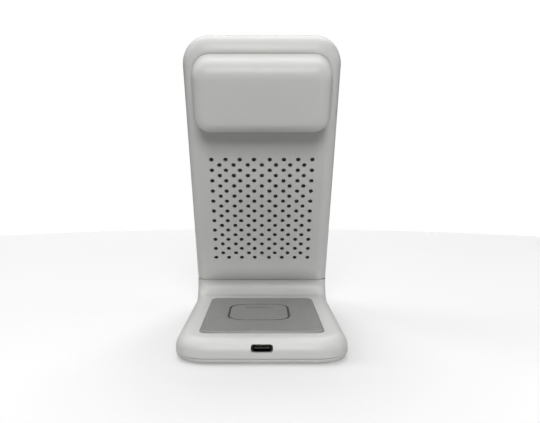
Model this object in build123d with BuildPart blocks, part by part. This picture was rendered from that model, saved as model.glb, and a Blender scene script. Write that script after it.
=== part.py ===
"""Desktop charging stand for a phone, a watch and an earbuds case.

A flat base carries the earbuds pad and the power inlet.  A hollow upright leans forward over the
base: its far face holds the phone on a ledge, its near face is vented and carries the watch head.
Frame: X across the stand, the near (pad) side faces -Y, Z up, origin on the table under the middle
of the footprint.  All sizes are in millimetres.
"""

from build123d import *

import os
from math import cos, radians, sin, tan

os.makedirs("parts", exist_ok=True)

# ---------------------------------------------------------------- overall sizes
width = 76.0
base_length = 142.0
height = 147.0
base_height = 11.0
lean_angle = 30.0
upright_thickness = 14.0
upright_setback = 106.9  # front of the base to the foot line of the near face

# ---------------------------------------------------------------- shells
wall = 2.0
front_corner_radius = 14.5
rear_corner_radius = 10.0
base_edge_round = 5.5
cove_radius = 5.6
rear_cove_radius = 4.0
neck_height = 8.35  # neck above the deck, up to the parting line
neck_gap = 0.2  # neck to the two halves of the upright
top_corner_radius = 13.0
near_edge_round = 6.5
far_edge_round = 4.5
split_margin = 0.5  # parting line of the upright to the start of its far edge round
seam_height = 2.7
seam_gap = 0.2
base_seam_gap = 0.4
fit_gap = 0.15
screw_gap = 0.15
screw_floor = 0.9  # plastic left past the end of a screw hole
screw_play = 0.3  # end of a screw to the bottom of its hole

# ---------------------------------------------------------------- underside
foot_height = 0.8
foot_radius = 6.0
foot_recess = 0.5
foot_round = 0.4
cover_inset = 0.6
cover_edge_round = 1.2
rim_thickness = 1.2
rim_height = 1.5
foot_inset_x = 12.0
foot_inset_front = 14.0
foot_inset_back = 12.0

# ---------------------------------------------------------------- earbuds pad
pad_width = 55.5
pad_length = 74.0
pad_thickness = 2.0
pad_recess = 1.0
pad_setback = 11.1  # front of the base to the front edge of the pad
pad_corner_radius = 4.0
pad_edge_round = 0.8
icon_width = 30.7
icon_length = 36.7
icon_corner_radius = 9.0
icon_groove = 1.25
icon_depth = 0.65
icon_shift = -1.4
icon_setback = 20.2  # front edge of the pad to the front of the outline
icon_bar = 14.5
icon_bar_setback = 8.2

# ---------------------------------------------------------------- power inlet
port_deck_gap = 0.27  # top of the inlet to the underside of the deck
port_width = 9.4
port_tall = 3.4
port_corner_radius = 1.1
port_setback = 1.3
inlet_width = 8.94
inlet_tall = 3.26
inlet_length = 7.35
inlet_skin = 0.3
inlet_back = 1.6
inlet_play = 0.02
tongue_setback = 0.7
tongue_end_gap = 0.8
tongue_width = 6.7
tongue_thickness = 0.7
contact_pitch = 0.5
contact_width = 0.25
contact_thickness = 0.1
contact_length = 3.2
contact_setback = 2.2
contacts_per_side = 12

# ---------------------------------------------------------------- vents
vent_radius = 1.13
vent_pitch = 7.35
vent_row_step = 3.17
vent_centre_shift = 0.055  # extra half gap at the middle of the long rows, as a share of the pitch
vent_start = 26.0  # foot line to the lowest row, along the slope
vent_chamfer = 0.1
vent_head_gap = 20.0  # highest row of vents to the watch head, at least
vent_wall = 0.6  # wall left at the vents, in a pocket that holds the dust mesh
mesh_margin = 1.45  # outermost vents to the edge of the dust mesh
mesh_gap = 0.05

# ---------------------------------------------------------------- watch head
head_width = 65.7
head_length = 35.6
head_depth = 15.0
head_top_gap = 5.65  # top of the upright to the top of the head, along the slope
head_corner_radius = 8.5
head_edge_round = 7.2
head_boss_length = 6.5
head_boss_radius = 2.6
head_screw_inset_x = 12.85
head_screw_inset = 4.3

# ---------------------------------------------------------------- phone side
ledge_width = 64.0
ledge_neck_gap = 1.6  # parting line of the neck to the root of the ledge
ledge_thickness = 4.0
ledge_reach = 14.0
lip_thickness = 3.0
lip_height = 3.5
ledge_corner_radius = 6.0
sheet_inset = 1.2
sheet_thickness = 0.8
sheet_recess = 0.6
strip_thickness = 0.8
strip_recess = 0.4
strip_margin = 3.0
ring_radius = 27.0
ring_width = 4.0
ring_thickness = 0.5

# ---------------------------------------------------------------- screws
screw_radius = 1.1
screw_head_radius = 2.1
screw_head_height = 1.1
boss_radius = 3.0
small_screw_radius = 0.9
small_head_radius = 1.7
small_head_height = 0.9
small_boss_radius = 2.1
panel_screw_inset = 10.0
panel_screw_drop = 16.0  # top of the upright to the upper panel screws
panel_screw_rise = 6.0  # lower panel screws to the lowest vents
rear_screw_x = 14.0
rear_screw_inset = 12.0
bracket_screw_inset = 6.0

# ---------------------------------------------------------------- electronics
board_thickness = 1.6
thin_board = 1.2
coil_radius = 22.0
coil_hole_radius = 11.0
coil_thickness = 1.0
coil_gap = 0.1
coil_margin = 2.0  # edge of the coils to the edge of their carrier
stack_board_gap = 1.4  # carrier to the driver board above it
earbuds_coil_radius = 19.0
earbuds_ferrite_margin = 1.0
ferrite_thickness = 0.8
carrier_thickness = 1.2
spreader_thickness = 1.0
mesh_thickness = 0.3
bracket_thickness = 1.5
bracket_width = 44.0
bracket_depth = 4.8
bracket_rise = 2.0  # bottom cover to the bracket
ribbon_width = 10.0
ribbon_thickness = 0.4
ribbon_depth = 3.2
ballast_thickness = 1.5
light_radius = 1.2
light_flange = 0.7
light_flange_thickness = 1.0
light_rim_gap = 0.2  # rim of the bottom cover to the flange of the light

# ---------------------------------------------------------------- places that follow from the sizes
front_y = -base_length / 2
back_y = base_length / 2
lean_cos = cos(radians(lean_angle))
lean_sin = sin(radians(lean_angle))
lean_tan = tan(radians(lean_angle))
foot_y = front_y + upright_setback
neck_top = base_height + neck_height
deck_under = base_height - wall
far_skin = upright_thickness - wall
port_height = deck_under - port_deck_gap - inlet_tall / 2
split_depth = upright_thickness - far_edge_round - split_margin

# Top of the upright: the far edge round is the highest point of the leaning slab.
far_round_depth = upright_thickness - far_edge_round
upright_length = (
    height - base_height - far_round_depth * lean_sin - far_edge_round
) / lean_cos + far_edge_round

# lean: X across, Y up the slope, Z out of the near face.  lean_side: X into the upright, Y up the slope.
lean = Plane(origin=(0, foot_y, base_height), x_dir=(1, 0, 0), z_dir=(0, -lean_cos, -lean_sin))
lean_side = Plane(origin=(0, foot_y, base_height), x_dir=(0, lean_cos, lean_sin), z_dir=(1, 0, 0))


def at_depth(depth):
    """Plane across the upright, this deep behind its near face."""
    return lean.offset(-depth)


def slope_point(depth, along):
    """(y, z) of a point this deep in the upright and this far up the slope."""
    y = foot_y + depth * lean_cos - along * lean_sin
    z = base_height + depth * lean_sin + along * lean_cos
    return (y, z)


def edges_at(block, y, z):
    """Edges of the block that run along X through this y and z."""
    return block.edges().filter_by(Axis.X).filter_by(
        lambda edge: abs(edge.center().Y - y) < 0.01 and abs(edge.center().Z - z) < 0.01
    )


def face_at_depth(block, depth):
    """Flat faces of the block that lie this deep behind the near face of the upright."""
    return block.faces().filter_by(GeomType.PLANE).filter_by(
        lambda face: abs(lean.to_local_coords(face.center()).Z + depth) < 0.01
        and abs(face.normal_at().dot(lean.z_dir)) > 0.999
    )


def save(piece, name):
    """Label a finished piece and write its STEP file."""
    piece.part.label = name
    export_step(piece.part, f"parts/{name}.step")


# ---------------------------------------------------------------- envelopes shared by the shells
def base_plan(inset):
    """Plan outline of the base, taken in by inset."""
    with BuildSketch() as plan:
        Rectangle(width - 2 * inset, base_length - 2 * inset)
        fillet(plan.vertices().group_by(Axis.Y)[0], front_corner_radius - inset)
        fillet(plan.vertices().group_by(Axis.Y)[-1], rear_corner_radius - inset)
    return plan.sketch


def base_block(inset, bottom, top):
    """Solid base slab with its leaning neck, taken in by inset, between two heights."""
    deck = base_height - inset
    near_low = foot_y + inset / lean_cos + inset * lean_tan
    far_low = foot_y + (upright_thickness - inset) / lean_cos + inset * lean_tan
    neck_end = top + cove_radius
    shift = (neck_end - deck) * lean_tan
    profile = [
        (front_y + inset, bottom),
        (front_y + inset, deck),
        (near_low, deck),
        (near_low - shift, neck_end),
        (far_low - shift, neck_end),
        (far_low, deck),
        (back_y - inset, deck),
        (back_y - inset, bottom),
    ]
    with BuildPart() as block:
        with BuildSketch(Plane.YZ):
            Polygon(*profile, align=None)
        extrude(amount=width / 2 - inset, both=True)
        fillet(edges_at(block, near_low, deck), cove_radius + inset)
        fillet(edges_at(block, far_low, deck), rear_cove_radius + inset)
        fillet(block.edges().filter_by(Axis.Z).group_by(Axis.Y)[0], front_corner_radius - inset)
        fillet(block.edges().filter_by(Axis.Z).group_by(Axis.Y)[-1], rear_corner_radius - inset)
        fillet(edges_at(block, front_y + inset, deck), base_edge_round - inset)
        fillet(edges_at(block, back_y - inset, deck), base_edge_round - inset)
        split(bisect_by=Plane.XY.offset(top), keep=Keep.BOTTOM)
    return block.part


def upright_slab(inset):
    """Whole leaning slab of the upright, taken in by inset.  It runs on below the neck."""
    tail = upright_thickness + top_corner_radius
    middle = (upright_length - tail) / 2
    with BuildPart() as slab:
        with BuildSketch(at_depth(inset)):
            with Locations((0, middle)):
                RectangleRounded(
                    width - 2 * inset,
                    upright_length + tail - 2 * inset,
                    top_corner_radius - inset,
                )
        extrude(amount=-(upright_thickness - 2 * inset))
        fillet(face_at_depth(slab, inset).edges(), near_edge_round - inset)
        fillet(face_at_depth(slab, upright_thickness - inset).edges(), far_edge_round - inset)
    return slab.part


upright_envelope = upright_slab(0)
upright_cavity = upright_slab(wall)
upright_foot_plane = Plane.XY.offset(neck_top + neck_gap)

# ---------------------------------------------------------------- places of the screws and pieces
foot_points = [
    (-width / 2 + foot_inset_x, front_y + foot_inset_front),
    (width / 2 - foot_inset_x, front_y + foot_inset_front),
    (-width / 2 + foot_inset_x, back_y - foot_inset_back),
    (width / 2 - foot_inset_x, back_y - foot_inset_back),
]
pad_y = front_y + pad_setback + pad_length / 2
icon_y = front_y + pad_setback + icon_setback + icon_length / 2
cover_top = seam_height - base_seam_gap / 2
post_top = cover_top + rim_height
boss_bottom = post_top + seam_gap / 2

head_top = upright_length - head_top_gap
head_middle = head_top - head_length / 2
panel_screw_x = width / 2 - panel_screw_inset
panel_screw_low = vent_start - panel_screw_rise
panel_screw_high = upright_length - panel_screw_drop
panel_screw_points = [
    (side * panel_screw_x, along)
    for side in (-1, 1)
    for along in (panel_screw_low, panel_screw_high)
]
head_screw_points = [
    (
        side * (head_width / 2 - head_screw_inset_x),
        head_middle + end * (head_length / 2 - head_screw_inset),
    )
    for side in (-1, 1)
    for end in (-1, 1)
]
bracket_screw_points = [
    (side * (bracket_width / 2 - bracket_screw_inset), panel_screw_low) for side in (-1, 1)
]
panel_boss_top = split_depth + 1.0

head_low = head_top - head_length
vent_rows = int((head_low - vent_head_gap - vent_start) / vent_row_step) + 1
vent_points = []
for row in range(vent_rows):
    row_height = vent_start + row * vent_row_step
    if row % 2 == 0:
        offsets = [side * (0.5 + vent_centre_shift + k) for side in (-1, 1) for k in range(4)]
    else:
        offsets = range(-3, 4)
    vent_points += [(offset * vent_pitch, row_height) for offset in offsets]
vent_top = vent_start + (vent_rows - 1) * vent_row_step
vent_middle = (vent_start + vent_top) / 2
vent_reach = max(x for x, _ in vent_points) + vent_radius
mesh_width = 2 * (vent_reach + mesh_margin)
mesh_length = vent_top - vent_start + 2 * (vent_radius + mesh_margin)

# ---------------------------------------------------------------- base top shell with its neck
rear_boss_points = [(side * rear_screw_x, back_y - rear_screw_inset) for side in (-1, 1)]
light_height = post_top + light_rim_gap + light_flange + light_radius
bracket_floor = cover_top + bracket_rise

with BuildPart() as base_top_shell:
    add(base_block(0, seam_height + base_seam_gap / 2, neck_top))
    add(base_block(wall, 0, neck_top + wall), mode=Mode.SUBTRACT)
    with BuildSketch(Plane.XY.offset(base_height)):
        with Locations((0, pad_y)):
            RectangleRounded(
                pad_width + 2 * fit_gap, pad_length + 2 * fit_gap, pad_corner_radius + fit_gap
            )
    extrude(amount=-pad_recess, mode=Mode.SUBTRACT)
    with BuildSketch(Plane.XZ.offset(-front_y)):
        with Locations((0, port_height)):
            RectangleRounded(port_width, port_tall, port_corner_radius)
    extrude(amount=-(base_edge_round + wall), mode=Mode.SUBTRACT)
    with BuildSketch(Plane.XY.offset(boss_bottom)):
        with Locations(foot_points):
            Circle(boss_radius)
    extrude(amount=deck_under - boss_bottom + pad_recess / 4)
    with BuildSketch(Plane.XY.offset(bracket_floor + bracket_thickness)):
        with Locations(rear_boss_points):
            Circle(boss_radius)
    extrude(amount=deck_under - bracket_floor - bracket_thickness + wall / 4)
    with BuildSketch(Plane.XY.offset(cover_top)):
        with Locations(foot_points + rear_boss_points):
            Circle(screw_radius + screw_gap / 2)
    extrude(amount=deck_under - cover_top - screw_floor + screw_play, mode=Mode.SUBTRACT)
    with BuildSketch(Plane.XZ.offset(-back_y)):
        with Locations((0, light_height)):
            Circle(light_radius + fit_gap / 2)
    extrude(amount=2 * wall, both=True, mode=Mode.SUBTRACT)
    with BuildSketch(Plane.XZ.offset(-back_y + wall)):
        with Locations((0, light_height)):
            Circle(light_radius + light_flange + fit_gap)
    extrude(amount=wall, mode=Mode.SUBTRACT)
save(base_top_shell, "base_top_shell")

# ---------------------------------------------------------------- bottom cover
main_board_gap = 1.0
ferrite_front = icon_y - earbuds_coil_radius - earbuds_ferrite_margin
main_board_front = front_y + wall + fit_gap + rim_thickness + 0.4
main_board_length = ferrite_front - main_board_gap - main_board_front
main_board_width = 44.0
board_bottom = port_height - inlet_tall / 2 - board_thickness
board_top = board_bottom + board_thickness
board_screw_points = [
    (side * (main_board_width / 2 - 3.5), main_board_front + end)
    for side in (-1, 1)
    for end in (11.0, main_board_length - 3.5)
]

with BuildPart() as base_bottom_cover:
    with BuildSketch(Plane.XY.offset(foot_height)):
        add(base_plan(cover_inset))
    extrude(amount=cover_top - foot_height)
    fillet(base_bottom_cover.faces().sort_by(Axis.Z)[0].edges(), cover_edge_round)
    with BuildSketch(Plane.XY.offset(cover_top)):
        add(base_plan(wall + fit_gap))
        add(base_plan(wall + fit_gap + rim_thickness), mode=Mode.SUBTRACT)
    extrude(amount=rim_height)
    with BuildSketch(Plane.XY.offset(cover_top)):
        with Locations(foot_points):
            Circle(boss_radius + 1.0)
    extrude(amount=post_top - cover_top)
    with BuildSketch(Plane.XY.offset(cover_top)):
        with Locations(board_screw_points):
            Circle(small_boss_radius)
    extrude(amount=board_bottom - cover_top)
    with BuildSketch(Plane.XY.offset(board_bottom)):
        with Locations(board_screw_points):
            Circle(small_screw_radius + screw_gap / 2)
    extrude(amount=-(board_bottom - foot_height - 0.6), mode=Mode.SUBTRACT)
    with BuildSketch(Plane.XY.offset(foot_height)):
        with Locations(foot_points):
            Circle(foot_radius + fit_gap)
    extrude(amount=foot_recess, mode=Mode.SUBTRACT)
    with BuildSketch(Plane.XY.offset(foot_height + foot_recess)):
        with Locations(foot_points):
            Circle(screw_head_radius + screw_gap)
    extrude(amount=screw_head_height + screw_gap, mode=Mode.SUBTRACT)
    with BuildSketch(Plane.XY.offset(foot_height)):
        with Locations(foot_points):
            Circle(screw_radius + screw_gap)
    extrude(amount=post_top, mode=Mode.SUBTRACT)
save(base_bottom_cover, "base_bottom_cover")

# ---------------------------------------------------------------- rubber feet over the base screws
with BuildPart() as rubber_feet:
    with BuildSketch(Plane.XY):
        with Locations(foot_points):
            Circle(foot_radius)
    extrude(amount=foot_height + foot_recess)
    fillet(rubber_feet.faces().filter_by(Axis.Z).group_by(Axis.Z)[0].edges(), foot_round)
save(rubber_feet, "rubber_feet")

# ---------------------------------------------------------------- soft earbuds pad with its outline
with BuildPart() as earbuds_pad:
    pad_top = base_height - pad_recess + pad_thickness
    with BuildSketch(Plane.XY.offset(base_height - pad_recess)):
        with Locations((0, pad_y)):
            RectangleRounded(pad_width, pad_length, pad_corner_radius)
    extrude(amount=pad_thickness)
    fillet(earbuds_pad.faces().sort_by(Axis.Z)[-1].edges(), pad_edge_round)
    with BuildSketch(Plane.XY.offset(pad_top)):
        with Locations((icon_shift, icon_y)):
            RectangleRounded(icon_width, icon_length, icon_corner_radius)
            RectangleRounded(
                icon_width - 2 * icon_groove,
                icon_length - 2 * icon_groove,
                icon_corner_radius - icon_groove,
                mode=Mode.SUBTRACT,
            )
        with Locations((icon_shift, icon_y + icon_length / 2 - icon_bar_setback)):
            SlotOverall(icon_bar, icon_groove)
    extrude(amount=-icon_depth, mode=Mode.SUBTRACT)
save(earbuds_pad, "earbuds_pad")

# ---------------------------------------------------------------- power inlet
inlet_face = Plane.XZ.offset(-front_y - port_setback)

with BuildPart() as inlet_shell:
    with BuildSketch(inlet_face):
        with Locations((0, port_height)):
            SlotOverall(inlet_width, inlet_tall)
            SlotOverall(inlet_width - 2 * inlet_skin, inlet_tall - 2 * inlet_skin, mode=Mode.SUBTRACT)
    extrude(amount=-inlet_length)
save(inlet_shell, "inlet_shell")

with BuildPart() as inlet_insulator:
    with BuildSketch(inlet_face.offset(-inlet_length + inlet_back)):
        with Locations((0, port_height)):
            SlotOverall(
                inlet_width - 2 * inlet_skin - inlet_play, inlet_tall - 2 * inlet_skin - inlet_play
            )
    extrude(amount=-inlet_back)
    with BuildSketch(inlet_face.offset(-tongue_setback)):
        with Locations((0, port_height)):
            Rectangle(tongue_width, tongue_thickness)
    extrude(amount=-(inlet_length - tongue_setback - tongue_end_gap))
save(inlet_insulator, "inlet_insulator")

with BuildPart() as inlet_contacts:
    contact_offset = tongue_thickness / 2 + contact_thickness / 2
    first_contact = -(contacts_per_side - 1) / 2
    with BuildSketch(inlet_face.offset(-contact_setback)):
        with Locations(
            [
                ((first_contact + k) * contact_pitch, port_height + side * contact_offset)
                for k in range(contacts_per_side)
                for side in (-1, 1)
            ]
        ):
            Rectangle(contact_width, contact_thickness)
    extrude(amount=-contact_length)
save(inlet_contacts, "inlet_contacts")

# ---------------------------------------------------------------- upright rear shell with the vents
header_width = 9.0
header_tall = 3.2
board_middle = head_middle - 3.0
board_depth = 4.6
driver_width = 46.0
driver_length = 36.0
driver_screw_points = [
    (side * (driver_width / 2 - 2.5), board_middle + step) for side in (-1, 1) for step in (-6.0, 7.0)
]

with BuildPart() as upright_rear_shell:
    add(upright_envelope)
    add(upright_cavity, mode=Mode.SUBTRACT)
    split(bisect_by=at_depth(split_depth), keep=Keep.TOP)
    split(bisect_by=upright_foot_plane, keep=Keep.TOP)
    with BuildSketch(at_depth(wall / 2)):
        with Locations(panel_screw_points):
            Circle(boss_radius)
    extrude(amount=-(panel_boss_top - fit_gap / 3 - wall / 2))
    with BuildSketch(at_depth(wall / 2)):
        with Locations(bracket_screw_points):
            Circle(boss_radius)
    extrude(amount=-(bracket_depth - wall / 2))
    with BuildSketch(at_depth(wall / 2)):
        with Locations(driver_screw_points):
            Circle(small_boss_radius)
    extrude(amount=-(board_depth - wall / 2))
    with BuildSketch(at_depth(panel_boss_top)):
        with Locations(panel_screw_points):
            Circle(screw_radius + screw_gap / 2)
    extrude(amount=panel_boss_top - wall - 0.5, mode=Mode.SUBTRACT)
    with BuildSketch(at_depth(bracket_depth)):
        with Locations(bracket_screw_points):
            Circle(screw_radius + screw_gap / 2)
    extrude(amount=bracket_depth - 1.0, mode=Mode.SUBTRACT)
    with BuildSketch(at_depth(board_depth)):
        with Locations(driver_screw_points):
            Circle(small_screw_radius + screw_gap / 2)
    extrude(amount=board_depth - 1.2, mode=Mode.SUBTRACT)
    with BuildSketch(lean):
        with Locations(head_screw_points):
            Circle(screw_radius + screw_gap)
        with Locations((0, head_middle)):
            Rectangle(header_width, header_tall)
    extrude(amount=-2 * wall, both=True, mode=Mode.SUBTRACT)
    with BuildSketch(at_depth(vent_wall)):
        with Locations((0, vent_middle)):
            Rectangle(mesh_width + 2 * fit_gap, mesh_length + 2 * fit_gap)
    extrude(amount=vent_wall - wall, mode=Mode.SUBTRACT)
    with BuildSketch(lean):
        with Locations(vent_points):
            Circle(vent_radius)
    extrude(amount=-wall, mode=Mode.SUBTRACT)
    with BuildSketch(lean):
        with Locations(vent_points):
            Circle(vent_radius + vent_chamfer)
    extrude(amount=-vent_chamfer, taper=45, mode=Mode.SUBTRACT)
save(upright_rear_shell, "upright_rear_shell")

# ---------------------------------------------------------------- upright front panel with the ledge
far_face = upright_thickness
ledge_start = (neck_height + ledge_neck_gap - (far_face - wall / 2) * lean_sin) / lean_cos
ledge_top = ledge_start + ledge_thickness
ledge_tip = far_face + ledge_reach + lip_thickness
ledge_plane = Plane(
    origin=(0, *slope_point(0, ledge_start)), x_dir=(1, 0, 0), z_dir=(0, -lean_sin, lean_cos)
)
sheet_width = width - 2 * (far_edge_round + sheet_inset)
sheet_low = ledge_top + sheet_inset
sheet_high = upright_length - far_edge_round - sheet_inset
sheet_length = sheet_high - sheet_low
sheet_middle = (sheet_high + sheet_low) / 2
strip_width = ledge_width - 2 * strip_margin
strip_length = ledge_reach - 2.0

with BuildPart() as ledge_block:
    with BuildSketch(lean_side):
        with BuildLine():
            hook = FilletPolyline(
                (far_face - wall / 2, ledge_start),
                (ledge_tip, ledge_start),
                (ledge_tip, ledge_top + lip_height),
                (far_face + ledge_reach, ledge_top + lip_height),
                (far_face + ledge_reach, ledge_top),
                (far_face - wall / 2, ledge_top),
                radius=[ledge_thickness * 0.7, lip_thickness * 0.45, lip_thickness * 0.45, 0.8],
            )
            Line(hook @ 1, hook @ 0)
        make_face()
    extrude(amount=ledge_width / 2, both=True)
    with BuildSketch(ledge_plane):
        with Locations((0, far_face)):
            RectangleRounded(ledge_width, 2 * (ledge_tip - far_face), ledge_corner_radius)
    extrude(amount=ledge_thickness + lip_height, mode=Mode.INTERSECT)

with BuildPart() as upright_front_panel:
    add(upright_envelope)
    add(upright_cavity, mode=Mode.SUBTRACT)
    split(bisect_by=at_depth(split_depth + seam_gap), keep=Keep.BOTTOM)
    split(bisect_by=upright_foot_plane, keep=Keep.TOP)
    add(ledge_block.part)
    with BuildSketch(at_depth(far_face - wall / 2)):
        with Locations(panel_screw_points):
            Circle(boss_radius + 0.5)
    extrude(amount=far_face - wall / 2 - panel_boss_top)
    with BuildSketch(at_depth(far_face)):
        with Locations((0, sheet_middle)):
            RectangleRounded(sheet_width + fit_gap, sheet_length + fit_gap, top_corner_radius / 2)
    extrude(amount=sheet_recess, mode=Mode.SUBTRACT)
    with BuildSketch(at_depth(far_face)):
        with Locations(panel_screw_points):
            Circle(screw_head_radius + screw_gap)
    extrude(amount=sheet_recess + screw_head_height + screw_gap, mode=Mode.SUBTRACT)
    with BuildSketch(at_depth(far_face)):
        with Locations(panel_screw_points):
            Circle(screw_radius + screw_gap)
    extrude(amount=far_face - split_depth, mode=Mode.SUBTRACT)
    with BuildSketch(ledge_plane.offset(ledge_thickness)):
        with Locations((0, far_face + 1.0 + strip_length / 2)):
            RectangleRounded(strip_width + fit_gap, strip_length + fit_gap, 2.0)
    extrude(amount=-strip_recess, mode=Mode.SUBTRACT)
save(upright_front_panel, "upright_front_panel")

with BuildPart() as phone_face_sheet:
    with BuildSketch(at_depth(far_face - sheet_recess)):
        with Locations((0, sheet_middle)):
            RectangleRounded(sheet_width, sheet_length, top_corner_radius / 2)
    extrude(amount=-sheet_thickness)
save(phone_face_sheet, "phone_face_sheet")

with BuildPart() as ledge_strip:
    with BuildSketch(ledge_plane.offset(ledge_thickness - strip_recess)):
        with Locations((0, far_face + 1.0 + strip_length / 2)):
            RectangleRounded(strip_width, strip_length, 2.0)
    extrude(amount=strip_thickness)
save(ledge_strip, "ledge_strip")

# ---------------------------------------------------------------- phone coils and what carries them
stack_low = panel_screw_low + 5.0
board_low = board_middle - driver_length / 2
carrier_length = board_low - stack_low - stack_board_gap
carrier_width = 2 * (coil_radius + coil_margin)
coil_step = carrier_length - carrier_width
stack_middle = stack_low + carrier_length / 2
coil_places = {
    "phone_coil_upper": (stack_middle + coil_step / 2, far_skin - coil_gap),
    "phone_coil_lower": (stack_middle - coil_step / 2, far_skin - 2 * coil_gap - coil_thickness),
}
for coil_name, (coil_along, coil_back) in coil_places.items():
    with BuildPart() as phone_coil:
        with BuildSketch(at_depth(coil_back)):
            with Locations((0, coil_along)):
                Circle(coil_radius)
                Circle(coil_hole_radius, mode=Mode.SUBTRACT)
        extrude(amount=coil_thickness)
    save(phone_coil, coil_name)

ferrite_back = far_skin - 3 * coil_gap - 2 * coil_thickness
with BuildPart() as phone_ferrite:
    with BuildSketch(at_depth(ferrite_back)):
        with Locations((0, stack_middle)):
            RectangleRounded(carrier_width - 2.0, carrier_length - 2.0, 4.0)
    extrude(amount=ferrite_thickness)
save(phone_ferrite, "phone_ferrite")

carrier_back = ferrite_back - ferrite_thickness - coil_gap
with BuildPart() as coil_carrier:
    with BuildSketch(at_depth(carrier_back)):
        with Locations((0, stack_middle)):
            RectangleRounded(carrier_width, carrier_length, 5.0)
    extrude(amount=carrier_thickness)
    with BuildSketch(at_depth(carrier_back)):
        with Locations((0, stack_middle)):
            with GridLocations(carrier_width / 3, carrier_length / 4, 2, 3):
                SlotOverall(9.0, 3.0)
    extrude(amount=carrier_thickness, mode=Mode.SUBTRACT)
save(coil_carrier, "coil_carrier")

spreader_back = carrier_back - carrier_thickness - coil_gap
with BuildPart() as heat_spreader:
    with BuildSketch(at_depth(spreader_back)):
        with Locations((0, stack_middle)):
            RectangleRounded(carrier_width - 1.0, carrier_length - 1.0, 4.0)
    extrude(amount=spreader_thickness)
save(heat_spreader, "heat_spreader")

with BuildPart() as phone_grip_ring:
    with BuildSketch(at_depth(far_face - sheet_recess + sheet_thickness)):
        with Locations((0, stack_middle + coil_step / 2)):
            Circle(ring_radius)
            Circle(ring_radius - ring_width, mode=Mode.SUBTRACT)
    extrude(amount=-ring_thickness)
save(phone_grip_ring, "phone_grip_ring")

with BuildPart() as vent_dust_mesh:
    with BuildSketch(at_depth(vent_wall + mesh_gap)):
        with Locations((0, vent_middle)):
            Rectangle(mesh_width, mesh_length)
    extrude(amount=-mesh_thickness)
save(vent_dust_mesh, "vent_dust_mesh")

# ---------------------------------------------------------------- driver board behind the watch head
with BuildPart() as driver_board:
    with BuildSketch(at_depth(board_depth)):
        with Locations((0, board_middle)):
            RectangleRounded(driver_width, driver_length, 2.0)
        with Locations(driver_screw_points):
            Circle(small_screw_radius + screw_gap, mode=Mode.SUBTRACT)
    extrude(amount=-thin_board)
save(driver_board, "driver_board")

with BuildPart() as driver_chips:
    with BuildSketch(at_depth(board_depth)):
        with Locations((-10.0, board_low + 9.0), (10.0, board_low + 9.0)):
            Rectangle(5.0, 5.0)
        with Locations((-11.0, board_middle + 7.0)):
            Rectangle(6.0, 6.0)
    extrude(amount=0.9)
save(driver_chips, "driver_chips")

with BuildPart() as driver_capacitors:
    with BuildSketch(at_depth(board_depth)):
        with Locations((0, board_low + 9.0)):
            with GridLocations(4.0, 3.4, 2, 2):
                Rectangle(3.2, 1.6)
        with Locations((10.0, board_middle + 7.0)):
            with GridLocations(4.0, 3.0, 2, 3):
                Rectangle(3.2, 1.6)
    extrude(amount=1.1)
save(driver_capacitors, "driver_capacitors")

connector_width = ribbon_width + 3.0
with BuildPart() as driver_connector:
    with BuildSketch(at_depth(board_depth)):
        with Locations((0, board_low + 2.6)):
            Rectangle(connector_width, 3.4)
    extrude(amount=board_depth - wall - 0.8)
save(driver_connector, "driver_connector")

# ---------------------------------------------------------------- watch head
def head_block(inset, back):
    """Solid watch head, taken in by inset, starting this deep behind the near face."""
    with BuildPart() as block:
        with BuildSketch(at_depth(back)):
            with Locations((0, head_middle)):
                RectangleRounded(
                    head_width - 2 * inset, head_length - 2 * inset, head_corner_radius - inset
                )
        extrude(amount=back + head_depth - inset)
        fillet(face_at_depth(block, inset - head_depth).edges(), head_edge_round - inset)
    return block.part


with BuildPart() as watch_head_shell:
    add(head_block(0, wall / 2))
    add(head_block(wall, wall), mode=Mode.SUBTRACT)
    with BuildSketch(lean):
        with Locations(head_screw_points):
            Circle(head_boss_radius)
    extrude(amount=head_boss_length)
    add(upright_envelope, mode=Mode.SUBTRACT)
    with BuildSketch(lean):
        with Locations(head_screw_points):
            Circle(screw_radius + screw_gap / 2)
    extrude(amount=head_boss_length - 0.8, mode=Mode.SUBTRACT)
save(watch_head_shell, "watch_head_shell")

head_inside = head_depth - wall
watch_coil_radius = min(13.5, head_length / 2 - wall - 1.5)
watch_coil_thickness = 1.2
watch_holder_thickness = 1.2
magnet_radius = 5.0
watch_coil_standoff = 1.1
coil_front = head_inside - watch_coil_standoff
holder_front = coil_front - watch_coil_thickness - ferrite_thickness - 2 * coil_gap
holder_post_x = head_width / 2 - 13.0
watch_board_level = 3.0

with BuildPart() as watch_coil:
    with BuildSketch(lean.offset(coil_front)):
        with Locations((0, head_middle)):
            Circle(watch_coil_radius)
            Circle(magnet_radius + 1.2, mode=Mode.SUBTRACT)
    extrude(amount=-watch_coil_thickness)
save(watch_coil, "watch_coil")

with BuildPart() as watch_ferrite:
    with BuildSketch(lean.offset(coil_front - watch_coil_thickness - coil_gap)):
        with Locations((0, head_middle)):
            Circle(watch_coil_radius + 1.0)
            Circle(magnet_radius + coil_gap, mode=Mode.SUBTRACT)
    extrude(amount=-ferrite_thickness)
save(watch_ferrite, "watch_ferrite")

with BuildPart() as watch_magnet:
    with BuildSketch(lean.offset(coil_front)):
        with Locations((0, head_middle)):
            Circle(magnet_radius)
    extrude(amount=-(watch_coil_thickness + ferrite_thickness + coil_gap))
save(watch_magnet, "watch_magnet")

with BuildPart() as watch_coil_holder:
    with BuildSketch(lean.offset(holder_front)):
        with Locations((0, head_middle)):
            Circle(watch_coil_radius + 1.0)
            Rectangle(2 * holder_post_x + 5.0, 7.0)
    extrude(amount=-watch_holder_thickness)
    with BuildSketch(lean):
        with Locations((-holder_post_x, head_middle), (holder_post_x, head_middle)):
            Circle(2.2)
    extrude(amount=holder_front)
save(watch_coil_holder, "watch_coil_holder")

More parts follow.
